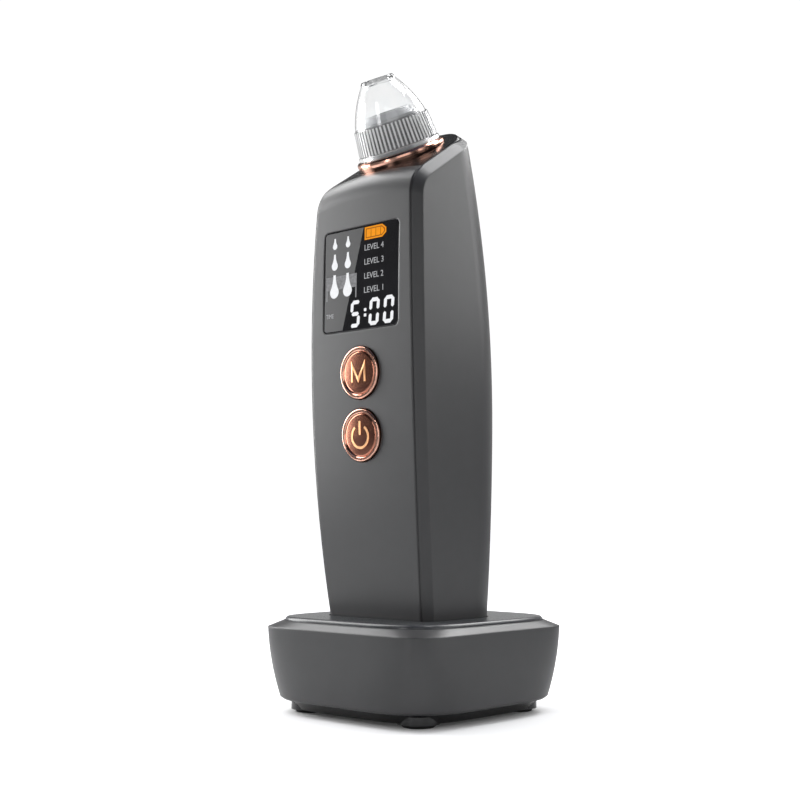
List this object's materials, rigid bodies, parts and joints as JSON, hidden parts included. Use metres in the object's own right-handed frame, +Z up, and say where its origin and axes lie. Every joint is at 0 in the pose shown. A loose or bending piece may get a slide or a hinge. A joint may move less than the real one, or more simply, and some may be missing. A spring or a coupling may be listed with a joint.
{
  "type": "pore vacuum",
  "caption": "Handheld pore vacuum with a tilted clear suction cup, square screen and round buttons, standing in a square charging base with sprung contacts.",
  "frame": {"origin": "centre of the charging base on the plane its four feet stand on", "axes": "+Z up; -Y is the front, towards the screen and buttons; +X is to the right for a person facing the screen"},
  "size_m": [0.068, 0.068, 0.1926],
  "materials": {
    "grey_plastic": "fine satin",
    "panel_plastic": "fine satin",
    "black_plastic": "matt",
    "connector_plastic": "satin",
    "clear_plastic": "clear, polished",
    "copper_plate": "polished rose-gold plating",
    "black_glass": "polished",
    "black_rubber": "matt",
    "foam": "open foam",
    "circuit_board": "solder mask",
    "chip_plastic": "moulded",
    "screw_steel": "plated",
    "magnet_iron": "ground",
    "contact_gold": "plated",
    "cell_wrap": "shrink wrap"
  },
  "bodies": {
    "base": {"base_shell": "grey_plastic", "base_top_panel": "panel_plastic", "dock_well": "black_plastic", "base_plate": "black_plastic", "base_feet": "black_rubber", "base_screws": "screw_steel", "ballast_plate": "screw_steel", "charge_board": "circuit_board", "charge_board_screws": "screw_steel", "charge_chips": "chip_plastic", "charging_inlet": "screw_steel", "pin_holder": "black_plastic", "pin_barrels": "contact_gold", "pin_spring_left": "screw_steel", "pin_spring_right": "screw_steel"},
    "handpiece": {"rear_shell": "grey_plastic", "front_panel": "grey_plastic", "top_cap": "black_plastic", "foot_cover": "black_plastic", "charge_contacts": "contact_gold", "foot_bracket": "black_plastic", "foot_screws": "screw_steel", "nozzle_ring": "copper_plate", "nozzle_connector": "connector_plastic", "nozzle_seal": "black_rubber", "filter_sponge": "foam", "screen_lens": "black_glass", "lens_gasket": "foam", "display_module": "black_plastic", "main_board": "circuit_board", "board_chips": "chip_plastic", "board_screws": "screw_steel", "mode_switch": "black_plastic", "power_switch": "black_plastic", "battery_cell": "cell_wrap", "battery_cradle": "black_plastic", "motor_can": "screw_steel", "motor_magnets": "magnet_iron", "motor_end_cap": "black_plastic", "motor_sleeve": "black_rubber", "motor_bracket": "black_plastic", "crank_case": "black_plastic", "diaphragm": "black_rubber", "valve_plate": "black_plastic", "pump_head": "black_plastic", "pump_screws": "screw_steel", "suction_tube": "black_rubber"},
    "suction_head": {"suction_cup": "clear_plastic"},
    "mode_key": {"mode_button": "copper_plate", "mode_plunger": "black_plastic"},
    "power_key": {"power_button": "copper_plate", "power_plunger": "black_plastic"},
    "rotor": {"motor_armature": "screw_steel", "motor_shaft": "screw_steel", "eccentric": "black_plastic"},
    "rod": {"connecting_rod": "black_plastic"},
    "left_pin": {"contact_pin_left": "contact_gold"},
    "right_pin": {"contact_pin_right": "contact_gold"}
  },
  "joints": [
    {"name": "handpiece_lift", "type": "slide", "parent": "base", "child": "handpiece", "axis": [0, 0, 1], "range_m": [0, 0.04]},
    {"name": "suction_head_pull", "type": "slide", "parent": "handpiece", "child": "suction_head", "axis": [0, -0.454, 0.891], "range_m": [0, 0.022]},
    {"name": "mode_press", "type": "slide", "parent": "handpiece", "child": "mode_key", "axis": [0, 0.9996, 0.0286], "range_m": [0, 0.0004], "stiffness_N_per_m": 2500},
    {"name": "power_press", "type": "slide", "parent": "handpiece", "child": "power_key", "axis": [0, 0.9984, 0.0574], "range_m": [0, 0.0004], "stiffness_N_per_m": 2500},
    {"name": "left_pin_travel", "type": "slide", "parent": "base", "child": "left_pin", "axis": [0, 0, 1], "range_m": [-0.0008, 0], "stiffness_N_per_m": 300, "deforming": ["pin_spring_left"]},
    {"name": "right_pin_travel", "type": "slide", "parent": "base", "child": "right_pin", "axis": [0, 0, 1], "range_m": [-0.0008, 0], "stiffness_N_per_m": 300, "deforming": ["pin_spring_right"]},
    {"name": "rotor_spin", "type": "hinge", "parent": "handpiece", "child": "rotor", "pos_m": [0, -0.0035, 0.12], "axis": [0, 0, 1], "continuous": true},
    {"name": "rod_swing", "type": "hinge", "parent": "rotor", "child": "rod", "pos_m": [0.001, -0.0035, 0.136], "axis": [0, 0, 1], "continuous": true}
  ],
  "couplings": [
    {"joint": "rod_swing", "follows": "rotor_spin", "ratio": -1}
  ]
}
